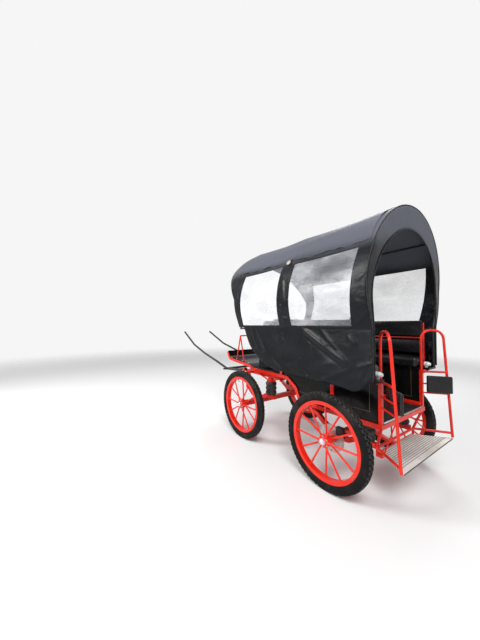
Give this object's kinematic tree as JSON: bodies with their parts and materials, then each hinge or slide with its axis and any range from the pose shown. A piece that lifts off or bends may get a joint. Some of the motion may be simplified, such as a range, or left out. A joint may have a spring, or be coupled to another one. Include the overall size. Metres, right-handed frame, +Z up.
{
  "type": "horse-drawn carriage",
  "caption": "Covered four-wheeled wagonette with a bowed canopy, lengthwise benches, steering forecarriage, air-sprung axles, rear step and shafts.",
  "frame": {"origin": "on the ground under the middle of the whole carriage's box, shafts included", "axes": "+X forward to the shafts, +Y to the left, +Z up"},
  "size_m": [4.8222, 1.502, 2.6318],
  "materials": {
    "red_paint": "gloss vermilion enamel on welded steel",
    "black_steel": "gloss black enamel",
    "hoop_steel": "satin black tube",
    "black_panel": "gloss black boards with a fine red line",
    "black_vinyl": "black upholstery vinyl",
    "canopy_cloth": "coated cloth, blue-black with a soft sheen",
    "clear_window": "flexible clear sheet, slightly misty",
    "tread_aluminium": "perforated and ribbed planks",
    "tyre_rubber": "blocky tread",
    "bellow_rubber": "moulded rubber",
    "disc_steel": "turned steel",
    "hub_chrome": "bright cap",
    "lamp_lens": "pale lens in a grey body"
  },
  "bodies": {
    "carriage": {"back_rails": "red_paint", "bench_backs": "black_vinyl", "bench_cushions": "black_vinyl", "bench_shelves": "black_panel", "body_frame": "red_paint", "brake_calipers": "black_steel", "canopy": "canopy_cloth", "canopy_hoops": "hoop_steel", "dash_rail": "red_paint", "driver_back": "black_vinyl", "driver_box": "black_panel", "driver_cushion": "black_vinyl", "floor_panel": "black_panel", "footboard": "black_panel", "grab_pads": "black_vinyl", "handrails": "red_paint", "rear_arms": "red_paint", "rear_axle": "red_paint", "rear_bellows": "bellow_rubber", "rear_lamps": "lamp_lens", "step_frame": "red_paint", "step_plate": "tread_aluminium", "tub_sides": "black_panel", "turntable_upper": "red_paint", "window_panes": "clear_window"},
    "forecarriage": {"fore_frame": "red_paint", "front_arms": "red_paint", "front_axle": "red_paint", "front_bellows": "bellow_rubber", "turntable_lower": "red_paint"},
    "shafts": {"shaft_pair": "black_steel"},
    "wheel_rear_left": {"brake_disc_rear_left": "disc_steel", "hub_cap_rear_left": "hub_chrome", "tyre_rear_left": "tyre_rubber", "wheel_rear_left": "red_paint"},
    "wheel_rear_right": {"brake_disc_rear_right": "disc_steel", "hub_cap_rear_right": "hub_chrome", "tyre_rear_right": "tyre_rubber", "wheel_rear_right": "red_paint"},
    "wheel_front_left": {"hub_cap_front_left": "hub_chrome", "tyre_front_left": "tyre_rubber", "wheel_front_left": "red_paint"},
    "wheel_front_right": {"hub_cap_front_right": "hub_chrome", "tyre_front_right": "tyre_rubber", "wheel_front_right": "red_paint"}
  },
  "joints": [
    {"name": "steering", "type": "hinge", "parent": "carriage", "child": "forecarriage", "pos_m": [-0.42024, 0, 0.87], "axis": [0, 0, 1], "range_deg": [-30, 30]},
    {"name": "shaft_lift", "type": "hinge", "parent": "forecarriage", "child": "shafts", "pos_m": [-0.27024, 0, 0.886], "axis": [0, 1, 0], "range_deg": [-8, 28]},
    {"name": "spin_rear_left", "type": "hinge", "parent": "carriage", "child": "wheel_rear_left", "pos_m": [-1.77024, 0.655, 0.45], "axis": [0, 1, 0], "continuous": true},
    {"name": "spin_rear_right", "type": "hinge", "parent": "carriage", "child": "wheel_rear_right", "pos_m": [-1.77024, -0.655, 0.45], "axis": [0, 1, 0], "continuous": true},
    {"name": "spin_front_left", "type": "hinge", "parent": "forecarriage", "child": "wheel_front_left", "pos_m": [-0.42024, 0.655, 0.45], "axis": [0, 1, 0], "continuous": true},
    {"name": "spin_front_right", "type": "hinge", "parent": "forecarriage", "child": "wheel_front_right", "pos_m": [-0.42024, -0.655, 0.45], "axis": [0, 1, 0], "continuous": true}
  ]
}
